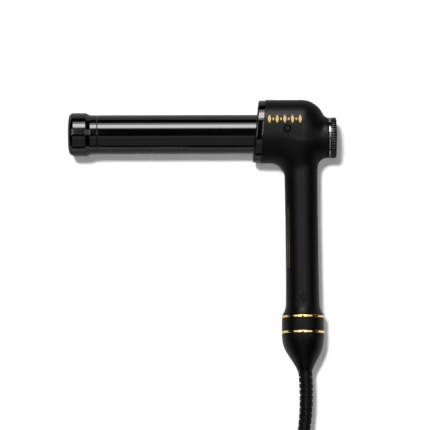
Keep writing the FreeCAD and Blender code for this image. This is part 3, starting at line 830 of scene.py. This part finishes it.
def dial_face():
    """Bezel, smoked window and the power button."""
    r = BEZEL_R
    face = DIAL_FACE
    profile = [(26.0, r), (face - 0.25, r), (face - 0.07, r - 0.08), (face, r - 0.25), (face, r - 0.8),
               (face - 0.1, r - 0.95), (face - 1.1, r - 1.0)]
    bezel = lathe("bezel_skin", profile, "x", at(0, DIAL_DROP, 0), GLOSS, "wand", 128)
    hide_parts("display_bezel")
    around = 96
    rings = [(29.7, 12.1, 0.0), (29.86, 12.05, 0.0), (29.9, 11.9, 0.0), (29.9, 2.9, BUTTON_DROP),
             (29.86, 2.72, BUTTON_DROP), (29.6, 2.68, BUTTON_DROP), (28.9, 2.68, BUTTON_DROP)]
    verts = []
    for x, radius, shift in rings:
        verts += [at(x, DIAL_DROP + shift + radius * c, radius * s) for c, s in circle(around)]
    lens = add_piece("lens_skin", verts, rings_to_faces(len(rings), around), LENS, "wand", 30)
    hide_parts("display_lens")
    profile = [(28.6, 2.6), (30.15, 2.6), (30.38, 2.52), (30.47, 2.35), (30.42, 1.7), (30.3, 1.0),
               (30.26, 0.0)]
    button = lathe("button_skin", profile, "x", at(0, DIAL_DROP + BUTTON_DROP, 0), GREY, "button", 64)
    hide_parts("power_button")


def sides(first, corners=4):
    """Quads between a ring of points and the next one, both numbered on from the first point."""
    return [(first + k, first + (k + 1) % corners, first + corners + (k + 1) % corners, first + corners + k)
            for k in range(corners)]


def digits():
    """Three seven-segment figures behind the window, unlit."""
    pitch = 4.6
    flat = (0.26, 1.0)
    upright = (0.9, 0.26)
    segments = [(y, 0.0, flat) for y in (5.4, 3.1, 0.8)]
    segments += [(y, z, upright) for y in (4.25, 1.95) for z in (-1.35, 1.35)]
    verts = []
    faces = []
    for middle in (-pitch, 0.0, pitch):
        for y, z, (half_y, half_z) in segments:
            first = len(verts)
            for x in (29.85, 29.93):
                for dy, dz in ((-half_y, -half_z), (half_y, -half_z), (half_y, half_z), (-half_y, half_z)):
                    verts.append(at(x, DIAL_DROP + y + dy, middle + z + dz))
            faces += [tuple(range(first + 4, first + 8)), tuple(range(first + 3, first - 1, -1))]
            faces += sides(first)
    add_piece("digit_segments", verts, faces, SEGMENT, "wand", 30)


def power_mark():
    """Open ring and bar on the button."""
    low = 30.25
    high = 30.38
    centre_y = DIAL_DROP + BUTTON_DROP
    verts = []
    faces = []
    steps = 40
    for i in range(steps + 1):
        angle = math.radians(35 + 290 * i / steps)
        for radius in (0.95, 1.2):
            y = centre_y + radius * math.cos(angle)
            verts += [at(x, y, radius * math.sin(angle)) for x in (low, high)]
    for i in range(steps):
        a = i * 4
        b = a + 4
        faces += [(a + 1, b + 1, b + 3, a + 3), (a, a + 1, b + 1, b), (a + 3, a + 2, b + 2, b + 3)]
    first = len(verts)
    for x in (low, high):
        for y, z in ((0.3, -0.13), (1.35, -0.13), (1.35, 0.13), (0.3, 0.13)):
            verts.append(at(x, centre_y + y, z))
    faces += [tuple(range(first + 4, first + 8))] + sides(first)
    add_piece("power_mark", verts, faces, CHROME, "button", 30)


# ---- gold rings, band and end cap ----
RING_R = 17.5
BAND_R = 17.3
CAP_TOP = -167.9


def rings_and_band():
    """Two polished gold rings with a soft-touch band between them."""
    origin = at(TAIL_X, 0, 0)
    r = RING_R
    for name, top, bottom in (("gold_ring_upper", -153.05, -154.85), ("gold_ring_lower", -165.8, -167.6)):
        profile = [(top, 13.0), (top, r - 0.3), (top - 0.08, r - 0.1), (top - 0.25, r), (bottom + 0.25, r),
                   (bottom + 0.08, r - 0.1), (bottom, r - 0.3), (bottom, 13.0), (top, 13.0)]
        ring = lathe(name + "_skin", profile, "y", origin, GOLD, "wand", 256)
        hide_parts(name)
    b = BAND_R
    profile = [(-155.05, 13.0), (-155.05, b - 0.3), (-155.12, b - 0.12), (-155.3, b), (-158.0, b + 0.05),
               (-162.5, b + 0.05), (-165.3, b), (-165.5, b - 0.12), (-165.57, b - 0.3), (-165.57, 13.0)]
    band = lathe("band_skin", profile, "y", origin, SOFT, "wand", 256)
    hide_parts("handle_band")


# Depth below the cap's top and radius there.
CAP_PROFILE = ((0.0, 16.9), (0.06, 17.2), (0.25, 17.42), (1.5, 17.45), (3.5, 17.37), (5.5, 17.15),
               (7.5, 16.8), (9.5, 16.35), (11.5, 15.8), (13.5, 15.1), (15.5, 14.2), (17.5, 13.1),
               (19.5, 11.9), (21.5, 10.7), (23.5, 9.5), (25.5, 8.35), (27.0, 7.55), (28.5, 6.85),
               (29.7, 6.4), (30.2, 6.1), (30.4, 5.8), (30.4, 4.4))


def end_cap():
    """Rounded cap that narrows to the swivel's mouth, a little off the grip's axis."""
    around = 192
    verts = []
    for depth, radius in CAP_PROFILE:
        t = min(max((depth - 4.0) / 26.4, 0.0), 1.0)
        x = TAIL_X + (SWIVEL_X - TAIL_X) * t * t * (3 - 2 * t)
        verts += [at(x + radius * s, CAP_TOP - depth, radius * c) for c, s in circle(around)]
    faces = rings_to_faces(len(CAP_PROFILE), around, True, False)
    piece = add_piece("cap_skin", verts, faces, SOFT, "wand", 40)
    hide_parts("end_cap")


def cap_dimple_shade():
    """Two small patches of painted shade, near black and without shine, where the cap has dimples beside
    its mouth.
    """
    steps = 24
    y0 = -197.05
    depths, radii = zip(*CAP_PROFILE)
    for i, x0 in enumerate((1.25, 5.05)):
        verts = []
        for reach, lift in ((0.72, -0.5), (0.78, 0.02), (0.7, 0.05), (0.35, 0.05)):
            for c, s in circle(steps):
                x = x0 + reach * c
                y = y0 + reach * s
                radius = float(np.interp(CAP_TOP - y, depths, radii))
                verts.append(at(x, y, math.sqrt(radius ** 2 - (x - SWIVEL_X) ** 2) + lift))
        add_piece("cap_dimple_%d" % (i + 1), verts, rings_to_faces(4, steps, True, True), PAINTED_SHADE, "wand", 40)


# ---- strain relief ----
CORD_R = 3.2
RELIEF_START = -198.55
RELIEF_END = -256.0
SLOT_PITCH = 2.45
FIRST_SLOT = -203.6
LAST_ROW = 20  # number of the last row of slots
SLOT_HALF_W = 0.55
SLOT_FLOOR_R = 4.75
RELIEF_NECK_R = 4.15


def relief_axis(y):
    """Side shift of the bowed strain relief at height y."""
    t = max((RELIEF_START - y) / (RELIEF_START - RELIEF_END), 0.0)
    return SWIVEL_X + 0.2 + 4.8 * t - 7.35 * t ** 2.05


def strain_relief():
    """Slotted bend sleeve with a neck into the cap, each row of slots turned a quarter from the last."""
    around = 96
    cord_end = CORD_R - 0.08
    soft_end = RELIEF_END + 0.45
    rows = [(RELIEF_START + 1.2, RELIEF_NECK_R), (RELIEF_START, RELIEF_NECK_R)]
    y = RELIEF_START
    while y >= RELIEF_END:
        rows.append((y, None))
        y -= SLOT_PITCH / 14
    rows += [(RELIEF_END, cord_end), (RELIEF_END - 1.3, cord_end)]
    verts = []
    for y, plain in rows:
        t = (RELIEF_START - y) / (RELIEF_START - RELIEF_END)
        sleeve = 5.75 - 0.5 * t
        row = round((FIRST_SLOT - y) / SLOT_PITCH)
        offset = abs(FIRST_SLOT - row * SLOT_PITCH - y)
        slotted = 0 <= row <= LAST_ROW
        for c, s in circle(around):
            radius = sleeve
            if slotted and offset < SLOT_HALF_W and abs(c if row % 2 else s) > 0.30:
                radius = SLOT_FLOOR_R
            elif slotted and offset < SLOT_HALF_W + 0.2:
                radius = sleeve - 0.12
            if y < soft_end:
                radius -= (soft_end - y) * 0.8
            if plain is not None:
                radius = plain
            verts.append(at(relief_axis(y) + radius * s, y, radius * c))
    faces = rings_to_faces(len(rows), around, True, True)
    piece = add_piece("relief_skin", verts, faces, CORD, None, 50)
    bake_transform(piece)
    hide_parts("strain_relief", "inner_cord")


# ---- cord, coil, tie and plug ----
CORD_Z = TABLE_Z + CORD_R + 0.1
COIL_CENTRE = (-52.5, -325.0)
COIL_MEAN_R = 38.0
COIL_TURNS = 9.25
COIL_LAYERS = 4
COIL_STEP = 6.6
COIL_HALF = COIL_STEP * COIL_TURNS / COIL_LAYERS / 2
COIL_OUTER = COIL_MEAN_R + COIL_HALF
COIL_TOP_Z = CORD_Z + COIL_STEP * (COIL_LAYERS - 1)
TURN_POINTS = 16
TIE_ANGLE = math.radians(135.0)
LEAD_ROUTE = ((0.4, -257.0, 0.0), (-1.8, -270.0, -2.0), (-3.8, -284.0, -7.6), (-5.5, -299.0, -13.6),
              (-6.8, -313.0, -17.0), (COIL_CENTRE[0] + COIL_OUTER, COIL_CENTRE[1], CORD_Z))
PLUG_BACK = (-117.0, -374.6, TABLE_Z + 8.5)
TAIL_ROUTE = ((COIL_CENTRE[0], COIL_CENTRE[1] - COIL_OUTER, COIL_TOP_Z), (-65.0, -371.4, 0.8),
              (-79.0, -373.0, -4.0), (-93.5, -374.1, -9.4), (-106.0, -374.6, -12.0), PLUG_BACK)


def coil_route():
    """Points of the coil: turns laid side by side in layers, inwards and then outwards."""
    swell = 1 / math.cos(math.pi / TURN_POINTS)
    layer_turns = COIL_TURNS / COIL_LAYERS
    count = round(COIL_TURNS * TURN_POINTS)
    points = []
    for i in range(1, count):
        turns = i / TURN_POINTS
        layer = min(int(turns / layer_turns), COIL_LAYERS - 1)
        part = turns / layer_turns - layer
        inward = part if layer % 2 == 0 else 1 - part
        radius = (COIL_OUTER - 2 * COIL_HALF * inward) * swell
        rise = max(0.0, (part - 0.9) / 0.1) if layer < COIL_LAYERS - 1 else 0.0
        z = CORD_Z + COIL_STEP * (layer + rise * rise * (3 - 2 * rise))
        x = COIL_CENTRE[0] + radius * math.cos(-TAU * turns)
        y = COIL_CENTRE[1] + radius * math.sin(-TAU * turns)
        points.append((x, y, z))
    return points


def make_cord():
    """One cord from the strain relief through the coil to the plug, along the CAD's route."""
    route = list(LEAD_ROUTE) + coil_route() + list(TAIL_ROUTE)
    curve = bpy.data.curves.new("cord_skin", "CURVE")
    curve.dimensions = "3D"
    spline = curve.splines.new("NURBS")
    spline.points.add(len(route) - 1)
    for point, place in zip(spline.points, route):
        point.co = (*at(*place), 1.0)
    spline.order_u = 3
    spline.use_endpoint_u = True
    spline.resolution_u = 6
    curve.bevel_depth = CORD_R * MM
    curve.bevel_resolution = 6
    curve.use_fill_caps = True
    curve.materials.append(CORD)
    cord = add_object("cord_skin", curve)
    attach(cord, "wand")
    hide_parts("cord_lead", "cord_coil", "cord_tail")


def cord_tie():
    """Rubber strap round the bundle, with a raised keeper on top."""
    r_in = COIL_MEAN_R - COIL_HALF - CORD_R - 0.1
    r_out = COIL_OUTER + CORD_R + 0.1
    low = TABLE_Z + 0.1
    high = COIL_TOP_Z + CORD_R + 0.1
    corner = 2.4
    outline = []
    for cx, cz, start in ((r_out - corner, high - corner, 0), (r_in + corner, high - corner, 90),
                          (r_in + corner, low + corner, 180), (r_out - corner, low + corner, 270)):
        for i in range(7):
            angle = math.radians(start + 15 * i)
            outline.append((cx, cz, math.cos(angle), math.sin(angle)))
    across = [(-4.8, 0.25), (-4.6, 0.85), (-4.0, 1.05), (-2.0, 1.0), (2.0, 1.0), (4.0, 1.05), (4.6, 0.85),
              (4.8, 0.25), (4.8, 0.0), (-4.8, 0.0)]
    radial = Vector((math.cos(TIE_ANGLE), math.sin(TIE_ANGLE), 0))
    along = Vector((-math.sin(TIE_ANGLE), math.cos(TIE_ANGLE), 0))
    verts = []
    for side, thick in across:
        for cx, cz, nx, nz in outline:
            thickness = thick if nz > -0.5 else thick * 0.06
            r = cx + (corner + thickness) * nx
            z = cz + (corner + thickness) * nz
            p = Vector((COIL_CENTRE[0], COIL_CENTRE[1], 0)) + radial * r + along * side
            verts.append(at(p.x, p.y, z))
    around = len(outline)
    faces = rings_to_faces(len(across), around)
    last = (len(across) - 1) * around
    faces += [(last + j, last + (j + 1) % around, (j + 1) % around, j) for j in range(around)]
    tie = add_piece("tie_skin", verts, faces, TIE, "wand", 50)
    weld(tie)
    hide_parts("cord_tie")
    return tie


# Distance from the plug's back, half width, half thickness.
PLUG_ROWS = ((-3.0, 4.0, 3.9), (-2.6, 4.5, 4.3), (0.5, 4.6, 4.4), (1.0, 4.1, 3.9), (2.0, 4.1, 3.9),
             (2.5, 4.8, 4.6), (4.0, 4.9, 4.7), (4.5, 4.3, 4.1), (5.5, 4.3, 4.1), (6.0, 5.1, 4.9),
             (8.0, 5.3, 5.0), (11.0, 6.3, 5.5), (14.0, 7.9, 6.1), (17.0, 9.9, 6.9), (20.0, 11.6, 7.5),
             (22.0, 12.3, 7.8), (23.0, 12.6, 7.9), (23.4, 12.1, 7.4), (24.6, 12.1, 7.4),
             (25.0, 12.75, 8.0), (26.4, 12.85, 8.05), (26.8, 12.3, 7.5), (28.0, 12.3, 7.5),
             (28.4, 13.0, 8.15), (29.8, 13.05, 8.15), (30.2, 12.5, 7.65), (31.4, 12.5, 7.65),
             (31.8, 13.1, 8.25), (34.0, 13.2, 8.3), (40.5, 13.35, 8.35), (42.0, 13.2, 8.2),
             (42.7, 12.8, 7.9), (43.0, 12.2, 7.4))


def plug():
    """Moulded plug with a ringed bend sleeve and finger grooves."""
    around = 96
    verts = []
    for reach, half_w, half_t in PLUG_ROWS:
        for c, s in circle(around):
            y = PLUG_BACK[1] + half_w * bulged(c, 0.72)
            z = PLUG_BACK[2] + half_t * bulged(s, 0.72)
            verts.append(at(PLUG_BACK[0] - reach, y, z))
    faces = rings_to_faces(len(PLUG_ROWS), around, True, True)
    piece = add_piece("plug_skin", verts, faces, CORD, "wand", 40)
    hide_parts("plug_body")
    blades = bpy.data.objects["plug_blades"]
    for slot in blades.material_slots:
        slot.material = BLADE
    return [piece, blades]


# ---- gold marks ----
MARK_LIFT = 0.09  # print above the surface
MARK_DEPTH = -0.2  # its hidden rim, below the surface


def print_mark(verts, faces, outline, rings):
    """Adds one printed mark on the front surface: an outline (centre, offsets) at shares of its size."""
    (x0, y0), offsets = outline
    corners = len(offsets)
    first = len(verts)
    for share, lift in rings:
        xs = np.array([x0 + share * dx for dx, _ in offsets])
        ys = np.array([y0 + share * dy for _, dy in offsets])
        verts += [at(x, y, z + lift) for x, y, z in zip(xs, ys, surface_height(xs, ys))]
    faces.append(tuple(range(first, first + corners)))
    for ring in range(len(rings) - 1):
        faces += [quad[::-1] for quad in sides(first + ring * corners, corners)]


def gold_marks():
    """Row of plain gold lozenges that follow the head's surface, tall ones and small ones in turn."""
    rings = ((0.25, MARK_LIFT), (0.55, MARK_LIFT), (0.85, MARK_LIFT), (1.0, 0.05), (1.0, MARK_DEPTH))
    verts = []
    faces = []
    for i in range(9):
        half_w, half_h = (0.9, 1.3) if i % 2 else (1.35, 3.5)
        offsets = [(bulged(c, 1.5) * half_w, bulged(s, 1.5) * half_h) for c, s in circle(16)]
        print_mark(verts, faces, ((-25.6 + 3.15 * i, 7.9), offsets), rings)
    add_piece("gold_marks", verts, faces, PRINT, "wand", 40)


def side_print_and_sheen():
    """Two faint rows of fine gold dashes down the left side of the grip, shorter ones first: partly print,
    partly a painted sheen along the grip's left edge.
    """
    half_w = 0.1
    verts = []
    faces = []
    for share, offset in ((0.89, 0.0), (0.80, 0.9)):
        for i in range(24):
            y = -64.0 - offset - 2.1 * i
            x = lean(y) - share * grip_radius(y)
            half_l = 0.35 if i < 13 else 0.55
            offsets = ((-half_w, -half_l), (half_w, -half_l), (half_w, half_l), (-half_w, half_l))
            print_mark(verts, faces, ((x, y), offsets), ((1.0, MARK_LIFT), (1.0, MARK_DEPTH)))
    add_piece("side_print_and_sheen", verts, faces, PRINT, "wand", 40)


# ---- parts inside ----


def inner_finish(name, dark, light, roughness, metallic=0.0):
    """Plain workshop finish for a part inside the wand: slight mottling and fine grain."""
    m = Nodes(name)
    cloud = m.noise(220.0, 4.0, 0.6)
    m.set(Metallic=metallic)
    m.tint(cloud, dark, light)
    m.link(m.spread(cloud, roughness * 0.8, roughness * 1.2), "Roughness")
    m.bump(m.noise(2500.0, 2.0), 0.000006, 0.5)
    return m.material


# Slot, dark tone, light tone, roughness, and 1.0 for a metal.
INNER_FINISHES = (
    ("aluminium", (0.66, 0.66, 0.67), (0.78, 0.78, 0.79), 0.35, 1.0),
    ("steel", (0.46, 0.46, 0.47), (0.60, 0.60, 0.61), 0.32, 1.0),
    ("copper_alloy", (0.66, 0.46, 0.22), (0.80, 0.60, 0.34), 0.30, 1.0),
    ("ceramic_part", (0.76, 0.74, 0.69), (0.86, 0.85, 0.80), 0.55),
    ("board_green", (0.015, 0.11, 0.04), (0.03, 0.17, 0.07), 0.35),
    ("dark_component", (0.012, 0.012, 0.013), (0.024, 0.024, 0.026), 0.45),
    ("relay_blue", (0.025, 0.08, 0.26), (0.04, 0.12, 0.34), 0.30),
    ("cap_yellow", (0.62, 0.42, 0.04), (0.74, 0.53, 0.07), 0.30),
    ("lead_silicone", (0.58, 0.56, 0.52), (0.70, 0.68, 0.64), 0.50),
    ("fuse_glass", (0.62, 0.66, 0.66), (0.74, 0.78, 0.78), 0.10),
    ("heat_plastic", (0.050, 0.042, 0.034), (0.085, 0.072, 0.060), 0.50),
)


def finish_inner_parts():
    """Materials for the CAD parts that stay, by the record's slots."""
    finishes = {row[0]: inner_finish(*row) for row in INNER_FINISHES}
    for part in frame["record"]["subparts"]:
        finish = finishes.get(part["material_slot"])
        for place in bpy.data.objects[part["node"]].material_slots:
            if finish is not None:
                place.material = finish


# ---- assembly ----
tie_piece = cord_tie()
plug_pieces = plug()
make_cord()
shells()
screw_plugs()
collar()
barrel()
tip()
trim_ring()
dial()
dial_face()
digits()
power_mark()
rings_and_band()
end_cap()
cap_dimple_shade()
strain_relief()
gold_marks()
side_print_and_sheen()
finish_inner_parts()
